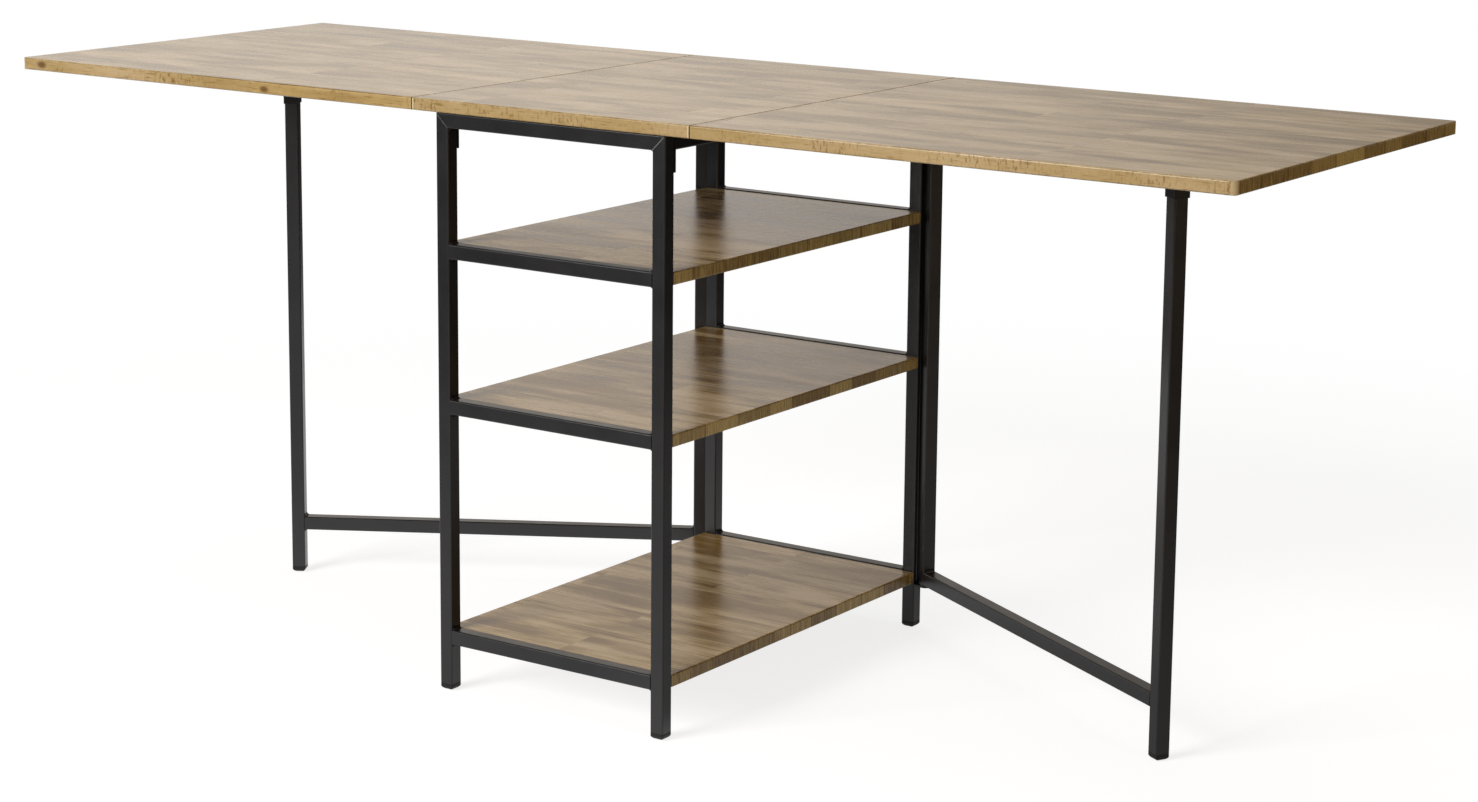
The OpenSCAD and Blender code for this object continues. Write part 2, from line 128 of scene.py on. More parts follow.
class LaminateSettings(bpy.types.PropertyGroup):
    stave_width: FloatProperty(
        name="Stave width", description="Width of the staves printed on the sheet",
        default=58 * MM, unit="LENGTH")
    stave_length: FloatProperty(
        name="Stave length", description="Length of the staves printed on the sheet",
        default=430 * MM, unit="LENGTH")
    cloud_width: FloatProperty(
        name="Cloud width", description="Width across the grain of a light or dark cloud",
        default=38 * MM, unit="LENGTH")
    cloud_length: FloatProperty(
        name="Cloud length", description="Length along the grain of a light or dark cloud",
        default=170 * MM, unit="LENGTH")
    grain_width: FloatProperty(
        name="Grain width", description="Width of a grain line",
        default=3.0 * MM, unit="LENGTH")
    grain_length: FloatProperty(
        name="Grain length", description="Length of a grain line",
        default=250 * MM, unit="LENGTH")
    grain_share: FloatProperty(
        name="Grain share", description="How much the grain lines add to the clouds", default=0.45, min=0.0)
    shelf_contrast: FloatProperty(
        name="Shelf contrast", description="How much stronger the print is on the shelves than on the top",
        default=1.45, min=0.0)
    edge_contrast: FloatProperty(
        name="Edge contrast", description="How strong the print is on the long edges, against the top",
        default=0.35, min=0.0)
    pore_width: FloatProperty(
        name="Pore width", description="Width of a pore, drawn three times too wide so that it shows",
        default=1.4 * MM, unit="LENGTH")
    pore_length: FloatProperty(
        name="Pore length", description="Length of a printed pore",
        default=24 * MM, unit="LENGTH")
    segment_width: FloatProperty(
        name="Segment width", description="Width of the blocks printed on the ends of the boards",
        default=64 * MM, unit="LENGTH")
    pale: FloatVectorProperty(
        name="Pale wood", description="Colour of the light grain",
        default=linear("#CCB189"), size=3, subtype="COLOR")
    middle: FloatVectorProperty(
        name="Middle wood", description="Colour of most of the sheet",
        default=linear("#B39662"), size=3, subtype="COLOR")
    dark: FloatVectorProperty(
        name="Dark wood", description="Colour of the dark grain and the pores",
        default=linear("#795920"), size=3, subtype="COLOR")
    smoke: FloatVectorProperty(
        name="Smoked patches", description="Colour of the smoked patches",
        default=linear("#795920"), size=3, subtype="COLOR")
    smoke_share: FloatProperty(
        name="Smoke", description="Strength of the smoked patches", default=0.55, min=0.0, max=1.0)
    end_pale: FloatVectorProperty(
        name="Pale end grain", description="Colour of the light lines on the ends of the boards",
        default=linear("#CBB270"), size=3, subtype="COLOR")
    end_dark: FloatVectorProperty(
        name="Dark end grain", description="Colour of the dark lines on the ends of the boards",
        default=linear("#6B522D"), size=3, subtype="COLOR")
    # Painted light: lifts the shelves' side edges above the leaves' ends of the same print, in place of light
    # that reaches them
    shelf_edge_painted_light: FloatVectorProperty(
        name="Shelf edges",
        description="Red, green and blue of the shelves' side edges, against the leaves' ends",
        default=(1.07, 1.13, 1.25), size=3, min=0.0)
    knot: FloatVectorProperty(
        name="Knots", description="Colour of the small knots",
        default=linear("#634423"), size=3, subtype="COLOR")
    # Painted highlight: this colour and the width below make pale bands on the upright corners of the top's
    # panels, where they catch the light
    core: FloatVectorProperty(
        name="Bare corner", description="Colour of the upright corners at the joints, where the film ends",
        default=linear("#DCC9A2"), size=3, subtype="COLOR")
    corner_highlight_width: FloatProperty(
        name="Bare width", description="Width of the bare corners", default=2.2 * MM, unit="LENGTH")
    roughness: FloatProperty(
        name="Roughness", description="Roughness of the melamine film",
        default=0.26, min=0.0, max=1.0)


class PowderCoatSettings(bpy.types.PropertyGroup):
    colour: FloatVectorProperty(
        name="Coat", description="Colour of the powder coat",
        default=linear("#191718"), size=3, subtype="COLOR")
    peel: FloatProperty(
        name="Peel", description="Spacing of the coat's orange peel",
        default=2.2 * MM, unit="LENGTH")
    roughness: FloatProperty(
        name="Roughness", description="Roughness of the coat", default=0.33, min=0.0, max=1.0)
    level: FloatProperty(
        name="Specular level", description="Strength of the coat's reflection",
        default=0.5, min=0.0, max=1.0)


class WeldSettings(bpy.types.PropertyGroup):
    fillet: FloatProperty(
        name="Fillet bead", description="Radius of the bead in a corner between two tubes",
        default=3.8 * MM, unit="LENGTH")
    seam: FloatProperty(
        name="Seam bead", description="Radius of the ground bead along a mitre",
        default=0.8 * MM, unit="LENGTH")
    pitch: FloatProperty(
        name="Ripple pitch", description="Distance between the ripples of a bead",
        default=1.6 * MM, unit="LENGTH")
    depth: FloatProperty(
        name="Ripple depth", description="Share of the radius by which a ripple rises and falls",
        default=0.12, min=0.0, max=0.5)
    # Painted highlight: this pale grey is laid on the right mitre seams for the light line along them
    ground: FloatVectorProperty(
        name="Ground weld", description="Colour of the thin coat over the ground mitre welds at the right",
        default=linear("#6A6F6A"), size=3, subtype="COLOR")


class PlasticSettings(bpy.types.PropertyGroup):
    colour: FloatVectorProperty(
        name="Plastic", description="Colour of the moulded parts",
        default=linear("#141213"), size=3, subtype="COLOR")
    grit: FloatProperty(
        name="Grit", description="Spacing of the mould's eroded texture",
        default=0.9 * MM, unit="LENGTH")


class ZincSettings(bpy.types.PropertyGroup):
    colour: FloatVectorProperty(
        name="Zinc", description="Colour of the plated parts",
        default=linear("#B4B6B8"), size=3, subtype="COLOR")
    spangle: FloatProperty(
        name="Spangle", description="Size of the plating's patches",
        default=1.5 * MM, unit="LENGTH")


class StageSettings(bpy.types.PropertyGroup):
    floor_colour: FloatVectorProperty(
        name="Floor", description="Colour of the floor, as the light meets it",
        default=linear("#A6A5A3"), size=3, subtype="COLOR")
    floor_radius: FloatProperty(
        name="Floor radius", description="Radius of the floor", default=60.0, unit="LENGTH")
    floor_lift: FloatProperty(
        name="Floor lift", description="Light that the floor adds for the camera, to leave a faint shadow",
        default=0.8, min=0.0, max=1.0)
    room_light: FloatProperty(
        name="Room light", description="Strength of the even light from all round", default=0.16, min=0.0)
    key_power: FloatProperty(
        name="Key light", description="Power of the big lamp at the front left", default=250.0, min=0.0)
    key_place: FloatVectorProperty(
        name="Key place", description="Place of the big lamp",
        default=(-1.5, -4.7, 2.6), size=3, subtype="TRANSLATION")
    key_size: FloatProperty(
        name="Key size", description="Side of the big lamp and of the one over the table",
        default=2.4, unit="LENGTH")
    top_power: FloatProperty(
        name="Top light", description="Power of the lamp over the table", default=20.0, min=0.0)
    top_place: FloatVectorProperty(
        name="Top place", description="Place of the lamp over the table",
        default=(0.0, 0.2, 3.3), size=3, subtype="TRANSLATION")
    side_power: FloatProperty(
        name="Side light", description="Power of the small warm lamp at the right", default=66.0, min=0.0)
    side_place: FloatVectorProperty(
        name="Side place", description="Place of the warm lamp",
        default=(6.0, -1.6, 1.3), size=3, subtype="TRANSLATION")
    side_size: FloatProperty(
        name="Side size", description="Side of the warm lamp", default=2.0, unit="LENGTH")
    side_colour: FloatVectorProperty(
        name="Side colour", description="Colour of the warm lamp",
        default=linear("#FFDDB0"), size=3, subtype="COLOR")
    wall_colour: FloatVectorProperty(
        name="Wall", description="Colour of the upper part of the room, as reflections show it",
        default=linear("#FFF4E8"), size=3, subtype="COLOR")
    eye: FloatVectorProperty(
        name="Eye", description="Place of the camera",
        default=(2.29439, -3.2236, 1.24543), size=3, subtype="TRANSLATION")
    yaw: FloatProperty(name="Yaw", description="Turn of the view to the left, in degrees", default=34.5444)
    pitch: FloatProperty(name="Pitch", description="Tilt of the view upwards, in degrees", default=-10.0417)
    roll: FloatProperty(name="Roll", description="Roll of the view, in degrees", default=0.5082)
    lens: FloatProperty(
        name="Lens", description="Focal length in millimetres on a frame 36 mm wide", default=75.245)
    shift: FloatProperty(
        name="Shift", description="Vertical lens shift, as a share of the frame's width", default=-0.1)


def board_places(tree, where):
    """Object coordinates moved so that each board shows another part of the printed sheet."""
    x, _, z = add(tree, "ShaderNodeSeparateXYZ", where).outputs
    across = add(tree, "ShaderNodeMath", x, operation="ABSOLUTE")
    outside = add(tree, "ShaderNodeMath", across, JOINT, operation="GREATER_THAN")
    way = add(tree, "ShaderNodeMath", x, operation="SIGN")
    side = add(tree, "ShaderNodeMath", way, outside, operation="MULTIPLY")

    # Whole tenths of a metre of height differ for each shelf and the top, and a leaf adds or takes a part
    level = add(tree, "ShaderNodeMath", z, 10.0, operation="MULTIPLY")
    level = add(tree, "ShaderNodeMath", level, operation="FLOOR")
    index = add(tree, "ShaderNodeMath", side, 0.37, level, operation="MULTIPLY_ADD")
    move = add(tree, "ShaderNodeVectorMath", (1.37, 0.374, 0.0), index, operation="SCALE")
    return add(tree, "ShaderNodeVectorMath", where, move, operation="ADD")


def knots(tree, where):
    """Small knots on the front edge of the left leaf, one near its end and one further in."""
    low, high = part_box("left_leaf")
    # Place along the edge, height and size of each
    spots = [(low.x + 40 * MM, low.z + 8.5 * MM, 7 * MM), (high.x - 249 * MM, low.z + 6.5 * MM, 6 * MM)]
    found = 0.0
    for x, z, size in spots:
        away = add(tree, "ShaderNodeVectorMath", where, (x, low.y, z), operation="SUBTRACT")
        flatten = (0.55 / size, 1 / size, 1 / size)
        away = add(tree, "ShaderNodeVectorMath", away, flatten, operation="MULTIPLY")
        away = add(tree, "ShaderNodeVectorMath", away, operation="LENGTH")
        knot = add(tree, "ShaderNodeMapRange", away, 0.3, 1.0, 1.0, 0.0, interpolation_type="SMOOTHSTEP")
        found = add(tree, "ShaderNodeMath", knot, found, operation="MAXIMUM")
    return found


def staves(tree, place, s):
    """Staves of uneven width: their tone, and the place moved so that each is cut from another part of the
    print."""
    sway = add(tree, "ShaderNodeVectorMath", place, cells(2500, 111, 0), operation="MULTIPLY")
    sway = add(tree, "ShaderNodeTexNoise", sway, Scale=1.0, Detail=0.0)
    sway = add(tree, "ShaderNodeVectorMath", (0.0, 55 * MM, 0.0), sway, operation="SCALE")
    bent = add(tree, "ShaderNodeVectorMath", place, sway, operation="ADD")
    tone = add(
        tree, "ShaderNodeTexBrick", bent, offset=0.37, offset_frequency=3, squash=1.0,
        Color1=(0, 0, 0, 1), Color2=(1, 1, 1, 1), Mortar=(0.5, 0.5, 0.5, 1), Scale=1.0,
        Mortar_Size=0.2 * MM, Mortar_Smooth=1.0, Brick_Width=s.stave_length, Row_Height=s.stave_width)
    apart = add(tree, "ShaderNodeVectorMath", tone, (0.9, 0.0, 0.3), operation="MULTIPLY")
    return tone, add(tree, "ShaderNodeVectorMath", place, apart, operation="ADD")


def long_grain(tree, place, cut, tone, upward, side, s):
    """Colour along the grain, and the mixed grain and the pores that its gloss and relief follow."""
    stretch = (1 / s.cloud_length, 1 / s.cloud_width, 1 / s.cloud_width)
    cloud = add(tree, "ShaderNodeVectorMath", cut, stretch, operation="MULTIPLY")
    cloud = add(tree, "ShaderNodeTexNoise", cloud, Scale=1.0, Detail=3.0)
    stretch = (1 / s.grain_length, 1 / s.grain_width, 1 / s.grain_width)
    grain = add(tree, "ShaderNodeVectorMath", cut, stretch, operation="MULTIPLY")
    grain = add(tree, "ShaderNodeTexNoise", grain, Scale=1.0, Detail=3.0, Roughness=0.6)
    centred = add(tree, "ShaderNodeMath", grain, 0.5, operation="SUBTRACT")
    mixed = add(tree, "ShaderNodeMath", centred, s.grain_share, cloud, operation="MULTIPLY_ADD")

    # The print is stronger on the shelves than on the top, and calm on the long edges
    high = add(tree, "ShaderNodeSeparateXYZ", place).outputs["Z"]
    strength = add(tree, "ShaderNodeMapRange", high, *BELOW_TOP, s.shelf_contrast, 1.0)
    calm = add(tree, "ShaderNodeMapRange", side, 0.0, 1.0, strength, s.edge_contrast)
    mixed = add(tree, "ShaderNodeMath", mixed, 0.5, operation="SUBTRACT")
    mixed = add(tree, "ShaderNodeMath", mixed, calm, 0.5, operation="MULTIPLY_ADD")
    colours = add(tree, "ShaderNodeValToRGB", mixed)
    stops = colours.color_ramp.elements
    stops[0].position, stops[0].color = 0.31, rgba(s.dark)
    stops[1].position, stops[1].color = 0.64, rgba(s.pale)
    stops.new(0.46).color = rgba(s.middle)

    # Smoked patches lie on the faces only
    haze = add(tree, "ShaderNodeVectorMath", cut, cells(222, 62.5, 62.5), operation="MULTIPLY")
    haze = add(tree, "ShaderNodeTexNoise", haze, Scale=1.0, Detail=2.0, Roughness=0.5)
    haze = add(tree, "ShaderNodeMapRange", haze, 0.47, 0.66, 0.0, s.smoke_share,
               interpolation_type="SMOOTHSTEP")
    face = add(tree, "ShaderNodeMapRange", upward, 0.5, 0.95, 0.0, 1.0, interpolation_type="SMOOTHSTEP")
    haze = add(tree, "ShaderNodeMath", haze, face, operation="MULTIPLY")
    haze = add(tree, "ShaderNodeMath", haze, strength, operation="MULTIPLY", use_clamp=True)
    colour = add(tree, "ShaderNodeMix", haze, colours, rgba(s.smoke), data_type="RGBA")

    # Pores are short dark dashes
    stretch = (1 / s.pore_length, 1 / s.pore_width, 1 / s.pore_width)
    dash = add(tree, "ShaderNodeVectorMath", cut, stretch, operation="MULTIPLY")
    dash = add(tree, "ShaderNodeTexNoise", dash, Scale=1.0, Detail=1.0)
    pores = add(tree, "ShaderNodeMapRange", dash, 0.58, 0.74, 0.0, 0.62, interpolation_type="SMOOTHSTEP")
    colour = add(tree, "ShaderNodeMix", pores, colour, rgba(s.dark), data_type="RGBA")

    # The long edges have fine upright flecks in places
    fleck = add(tree, "ShaderNodeVectorMath", place, cells(3, 3, 9), operation="MULTIPLY")
    fleck = add(tree, "ShaderNodeTexNoise", fleck, Scale=1.0, Detail=2.0, Roughness=0.6)
    fleck = add(tree, "ShaderNodeMapRange", fleck, 0.48, 0.7, 0.0, 0.8, interpolation_type="SMOOTHSTEP")
    patch = add(tree, "ShaderNodeVectorMath", place, cells(111, 111, 0), operation="MULTIPLY")
    patch = add(tree, "ShaderNodeTexNoise", patch, Scale=1.0)
    patch = add(tree, "ShaderNodeMapRange", patch, 0.42, 0.58, 0.15, 1.0, interpolation_type="SMOOTHSTEP")
    patch = add(tree, "ShaderNodeMath", patch, side, operation="MULTIPLY")
    fleck = add(tree, "ShaderNodeMath", fleck, patch, operation="MULTIPLY")
    colour = add(tree, "ShaderNodeMix", fleck, colour, rgba(s.dark), data_type="RGBA")

    # Each stave has a slightly different tone
    level = add(tree, "ShaderNodeMath", tone, 0.14, 0.905, operation="MULTIPLY_ADD")
    return add(tree, "ShaderNodeVectorMath", colour, level, operation="SCALE"), mixed, pores


def end_grain(tree, place, s):
    """Colour of the printed ends: upright lines in blocks of uneven tone, with a dark line between them, and
    painted light that lifts the shelves' side edges.
    """
    _, across, high = add(tree, "ShaderNodeSeparateXYZ", place).outputs
    sway = add(tree, "ShaderNodeVectorMath", place, cells(0, 143, 0), operation="MULTIPLY")
    sway = add(tree, "ShaderNodeTexNoise", sway, Scale=1.0)
    count = add(tree, "ShaderNodeMath", across, 1 / s.segment_width, operation="MULTIPLY")
    count = add(tree, "ShaderNodeMath", sway, 1.4, count, operation="MULTIPLY_ADD")
    block = add(tree, "ShaderNodeMath", count, operation="FLOOR")
    block = add(tree, "ShaderNodeTexWhiteNoise", W=block, noise_dimensions="1D")
    line = add(tree, "ShaderNodeVectorMath", place, cells(0, 2.6, 42), operation="MULTIPLY")
    line = add(tree, "ShaderNodeTexNoise", line, Scale=1.0, Detail=2.0, Roughness=0.7)
    line = add(tree, "ShaderNodeMath", line, 0.62, operation="MULTIPLY")
    tone = add(tree, "ShaderNodeMath", block, 0.2, line, operation="MULTIPLY_ADD")
    tone = add(tree, "ShaderNodeMapRange", tone, 0.2, 0.66, 0.0, 1.0, interpolation_type="SMOOTHSTEP")
    colour = add(tree, "ShaderNodeMix", tone, rgba(s.end_dark), rgba(s.end_pale), data_type="RGBA")

    share = add(tree, "ShaderNodeMath", count, operation="FRACT")
    share = add(tree, "ShaderNodeMath", share, 0.5, operation="SUBTRACT")
    share = add(tree, "ShaderNodeMath", share, operation="ABSOLUTE")
    seam = add(tree, "ShaderNodeMapRange", share, 0.46, 0.5, 0.0, 0.6, interpolation_type="SMOOTHSTEP")
    colour = add(tree, "ShaderNodeMix", seam, colour, rgba(s.knot), data_type="RGBA")
    # Painted light: the shelves' side edges are drawn lighter and less red than the leaves' ends of the same
    # print
    painted_light_shelf_edges = add(tree, "ShaderNodeVectorMath", colour, s.shelf_edge_painted_light, operation="MULTIPLY")
    top = add(tree, "ShaderNodeMath", high, BELOW_TOP[1], operation="GREATER_THAN")
    return add(tree, "ShaderNodeMix", top, painted_light_shelf_edges, colour, data_type="RGBA")


def corner_wear_and_highlight(tree, where, place, facing, side, colour, s):
    """Colour with the dark marks along the rounded upper edges, and a painted highlight: pale bands on the
    upright corners of the top's panels."""
    facing_x, facing_y, upward = facing
    low = add(tree, "ShaderNodeMapRange", upward, 0.15, 0.5, 0.0, 1.0, interpolation_type="SMOOTHSTEP")
    high = add(tree, "ShaderNodeMapRange", upward, 0.8, 0.97, 0.55, 0.0, interpolation_type="SMOOTHSTEP")
    marks = add(tree, "ShaderNodeVectorMath", place, cells(6.7, 4.2, 4.2), operation="MULTIPLY")
    marks = add(tree, "ShaderNodeTexNoise", marks, Scale=1.0, Detail=2.0, Roughness=0.7)
    marks = add(tree, "ShaderNodeMapRange", marks, 0.45, 0.6, 0.0, 1.0, interpolation_type="SMOOTHSTEP")
    arris = add(tree, "ShaderNodeMath", low, high, operation="MULTIPLY")
    arris = add(tree, "ShaderNodeMath", arris, marks, operation="MULTIPLY")
    colour = add(tree, "ShaderNodeMix", arris, colour, rgba(s.dark), data_type="RGBA")

    # Painted highlight: pale bands on the centre panel's upright corners, and fainter ones on the leaves'
    # rounded corners, where these corners catch the light
    across = add(tree, "ShaderNodeSeparateXYZ", where).outputs["X"]
    across = add(tree, "ShaderNodeMath", across, operation="ABSOLUTE")
    near = add(tree, "ShaderNodeMath", across, PANEL_EDGE - s.corner_highlight_width, operation="GREATER_THAN")
    inside = add(tree, "ShaderNodeMath", across, JOINT, operation="LESS_THAN")
    painted_highlight = add(tree, "ShaderNodeMath", near, inside, operation="MULTIPLY")
    painted_highlight = add(tree, "ShaderNodeMath", painted_highlight, side, operation="MULTIPLY")
    painted_highlight = add(tree, "ShaderNodeMath", painted_highlight, 0.8, operation="MULTIPLY")
    turn = add(tree, "ShaderNodeMath", facing_x, facing_y, operation="MULTIPLY")
    turn = add(tree, "ShaderNodeMapRange", turn, 0.2, 0.42, 0.0, 0.6, interpolation_type="SMOOTHSTEP")
    painted_highlight = add(tree, "ShaderNodeMath", painted_highlight, turn, operation="MAXIMUM")
    return add(tree, "ShaderNodeMix", painted_highlight, colour, rgba(s.core), data_type="RGBA")


def laminate(s):
    """Oak print on particle board under a melamine film: soft clouds of gold and smoky brown along the
    grain, faint staves, sparse pores, blocks of end grain on the ends, and a slightly blurred gloss."""
    material, tree = new_material("oak_print_melamine")
    coordinates = add(tree, "ShaderNodeTexCoord").outputs
    where = coordinates["Object"]
    facing = add(tree, "ShaderNodeVectorMath", coordinates["Normal"], operation="ABSOLUTE")
    facing = add(tree, "ShaderNodeSeparateXYZ", facing).outputs
    end = add(tree, "ShaderNodeMapRange", facing["X"], 0.55, 0.8, 0.0, 1.0, interpolation_type="SMOOTHSTEP")
    side = add(tree, "ShaderNodeMapRange", facing["Y"], 0.7, 0.9, 0.0, 1.0, interpolation_type="SMOOTHSTEP")

    place = board_places(tree, where)
    tone, cut = staves(tree, place, s)
    along, mixed, pores = long_grain(tree, place, cut, tone, facing["Z"], side, s)
    colour = add(tree, "ShaderNodeMix", end, along, end_grain(tree, place, s), data_type="RGBA")
    colour = corner_wear_and_highlight(tree, where, place, facing, side, colour, s)
    knot = add(tree, "ShaderNodeMath", knots(tree, where), 0.85, operation="MULTIPLY")
    colour = add(tree, "ShaderNodeMix", knot, colour, rgba(s.knot), data_type="RGBA")

    # The film is a little rougher over the pale grain, and dips at the pores
    rough = add(tree, "ShaderNodeMapRange", mixed, 0.0, 1.0, s.roughness - 0.03, s.roughness + 0.05)
    height = add(tree, "ShaderNodeMath", pores, -0.9, mixed, operation="MULTIPLY_ADD")
    relief = add(tree, "ShaderNodeBump", Strength=0.2, Distance=0.12 * MM, Height=height)
    finish_material(tree, Base_Color=colour, Roughness=rough, Normal=relief)
    return material


def powder_coat(s, name, colour):
    """Black polyester powder baked on steel: satin, with a soft orange peel and a faint cloudiness."""
    material, tree = new_material(name)
    where = add(tree, "ShaderNodeTexCoord").outputs["Object"]
    cloud = add(tree, "ShaderNodeTexNoise", where, Scale=1 / (45 * MM), Detail=3.0, Roughness=0.6)
    shade = add(tree, "ShaderNodeMapRange", cloud, 0.0, 1.0, 0.75, 1.25)
    tinted = add(tree, "ShaderNodeVectorMath", colour, shade, operation="SCALE")
    rough = add(tree, "ShaderNodeMapRange", cloud, 0.0, 1.0, s.roughness - 0.06, s.roughness + 0.06)
    peel = add(tree, "ShaderNodeTexNoise", where, Scale=1 / s.peel, Detail=1.0, Roughness=0.4)
    relief = add(tree, "ShaderNodeBump", Strength=0.25, Distance=0.1 * MM, Height=peel)
    finish_material(tree, Base_Color=tinted, Roughness=rough, Normal=relief, Specular_IOR_Level=s.level)
    return material


def moulded_plastic(s):
    """Black polypropylene moulded in an eroded steel mould: matt, with a fine even grit."""
    material, tree = new_material("black_moulded_polypropylene")
    where = add(tree, "ShaderNodeTexCoord").outputs["Object"]
    grit = add(tree, "ShaderNodeTexNoise", where, Scale=1 / s.grit, Detail=2.0, Roughness=0.6)
    shade = add(tree, "ShaderNodeMapRange", grit, 0.0, 1.0, 0.8, 1.2)
    tinted = add(tree, "ShaderNodeVectorMath", s.colour, shade, operation="SCALE")
    rough = add(tree, "ShaderNodeMapRange", grit, 0.0, 1.0, 0.5, 0.62)
    relief = add(tree, "ShaderNodeBump", Strength=0.3, Distance=0.08 * MM, Height=grit)
    finish_material(tree, Base_Color=tinted, Roughness=rough, Normal=relief, Specular_IOR_Level=0.3)
    return material


def zinc_plate(s):
    """Bright zinc plated on turned and pressed steel: grey metal in small patches of uneven sheen."""
    material, tree = new_material("bright_zinc_plated_steel")
    where = add(tree, "ShaderNodeTexCoord").outputs["Object"]
    patch = add(tree, "ShaderNodeTexVoronoi", where, Scale=1 / s.spangle).outputs["Color"]
    first, second, _ = add(tree, "ShaderNodeSeparateXYZ", patch).outputs
    shade = add(tree, "ShaderNodeMapRange", first, 0.0, 1.0, 0.85, 1.08)
    tinted = add(tree, "ShaderNodeVectorMath", s.colour, shade, operation="SCALE")
    rough = add(tree, "ShaderNodeMapRange", second, 0.0, 1.0, 0.28, 0.42)
    relief = add(tree, "ShaderNodeBump", Strength=0.1, Distance=0.05 * MM, Height=first)
    finish_material(tree, Base_Color=tinted, Metallic=1.0, Roughness=rough, Normal=relief)
    return material


class TABLE_OT_laminate_boards(bpy.types.Operator):
    """Puts the oak print on the top panels and the shelves"""
    bl_idname = "table.laminate_boards"
    bl_label = "Laminate boards"

    def execute(self, context):
        dress(BOARDS, laminate(context.scene.table_laminate))
        return {"FINISHED"}


class TABLE_OT_powder_coat(bpy.types.Operator):
    """Powder coats the tubes, their end plates, lugs and tabs"""
    bl_idname = "table.powder_coat"
    bl_label = "Powder coat"

    def execute(self, context):
        s = context.scene.table_coat
        dress(cad_nodes("_post", "_rail", "_lugs", "_tabs", "hinge_tube", "gate_leg"),
              powder_coat(s, "black_powder_coat", s.colour))
        return {"FINISHED"}


class TABLE_OT_mould_plastics(bpy.types.Operator):
    """Gives the feet, caps, bushes and stops their moulded finish"""
    bl_idname = "table.mould_plastics"
    bl_label = "Mould plastics"

    def execute(self, context):
        plastic = moulded_plastic(context.scene.table_plastic)
        dress(cad_nodes("_feet", "_foot", "_cap", "_bushes", "_gate_stop"), plastic)
        return {"FINISHED"}


class TABLE_OT_plate_fittings(bpy.types.Operator):
    """Zinc plates the hinges, pins, inserts, bolts and screws"""
    bl_idname = "table.plate_fittings"
    bl_label = "Plate fittings"

    def execute(self, context):
        zinc = zinc_plate(context.scene.table_zinc)
        dress(cad_nodes("_fixed_plates", "_moving_plates", "_pins", "_inserts", "_bolts", "_screws"), zinc)
        return {"FINISHED"}


def bead_tree():
    """Sweeps a rippled bead along every edge of a mesh. Its section is a four-pointed star. Hollow sides make
    a fillet in a corner, and sides that are hardly hollow make a low bead on a face."""
    tree = bpy.data.node_groups.new("weld_bead", "GeometryNodeTree")
    sockets = tree.interface
    sockets.new_socket("Geometry", in_out="INPUT", socket_type="NodeSocketGeometry")
    for name in ("Bead radius", "Hollow radius", "Ripple pitch", "Ripple depth"):
        sockets.new_socket(name, in_out="INPUT", socket_type="NodeSocketFloat")
    sockets.new_socket("Material", in_out="INPUT", socket_type="NodeSocketMaterial")
    sockets.new_socket("Geometry", in_out="OUTPUT", socket_type="NodeSocketGeometry")
    given = add(tree, "NodeGroupInput").outputs
    step = add(tree, "ShaderNodeMath", given["Ripple pitch"], 0.25, operation="MULTIPLY")
    lines = add(tree, "GeometryNodeMeshToCurve", given["Geometry"])
    fine = add(tree, "GeometryNodeResampleCurve", mode="LENGTH", Curve=lines, Length=step)
    place = add(tree, "GeometryNodeSplineParameter").outputs
    turns = add(tree, "ShaderNodeMath", place["Length"], given["Ripple pitch"], operation="DIVIDE")
    wave = add(tree, "ShaderNodeMath", turns, math.tau, operation="MULTIPLY")
    wave = add(tree, "ShaderNodeMath", wave, operation="SINE")
    swell = add(tree, "ShaderNodeMath", wave, given["Ripple depth"], 1.0, operation="MULTIPLY_ADD")

    # The bead thins towards both ends
    far = add(tree, "ShaderNodeMath", 1.0, place["Factor"], operation="SUBTRACT")
    near_end = add(tree, "ShaderNodeMath", place["Factor"], far, operation="MINIMUM")
    taper = add(tree, "ShaderNodeMapRange", near_end, 0.0, 0.12, 0.35, 1.0, interpolation_type="SMOOTHSTEP")
    size = add(tree, "ShaderNodeMath", swell, taper, operation="MULTIPLY")
    shaped = add(tree, "GeometryNodeSetCurveRadius", Curve=fine, Radius=size)
    section = add(tree, "GeometryNodeCurveStar", Points=4, Inner_Radius=given["Hollow radius"],
                  Outer_Radius=given["Bead radius"])
    bead = add(tree, "GeometryNodeCurveToMesh", Curve=shaped, Profile_Curve=section, Fill_Caps=True)
    real = add(tree, "GeometryNodeRealizeInstances", bead)
    dressed = add(tree, "GeometryNodeSetMaterial", Geometry=real, Material=given["Material"])
    add(tree, "NodeGroupOutput", dressed)
    return tree


def set_inputs(modifier, **values):
    """Sets a node modifier's inputs by the names that the tree gives them."""
    for item in modifier.node_group.interface.items_tree:
        if item.in_out == "INPUT" and item.name.replace(" ", "_") in values:
            modifier[item.identifier] = values[item.name.replace(" ", "_")]


def applied(piece):
    """The piece's evaluated shape as a plain mesh, with no modifier left on it."""
    shape = piece.evaluated_get(bpy.context.evaluated_depsgraph_get())
    mesh = bpy.data.meshes.new_from_object(shape)
    piece.modifiers.clear()
    old, piece.data = piece.data, mesh
    bpy.data.meshes.remove(old)
    return piece


def line_piece(name, lines):
    """A piece whose mesh is one edge for each line."""
    mesh = bpy.data.meshes.new(name)
    points = [tuple(end) for line in lines for end in line]
    mesh.from_pydata(points, [(i, i + 1) for i in range(0, len(points), 2)], [])
    piece = bpy.data.objects.new(name, mesh)
    bpy.context.scene.collection.objects.link(piece)
    return piece


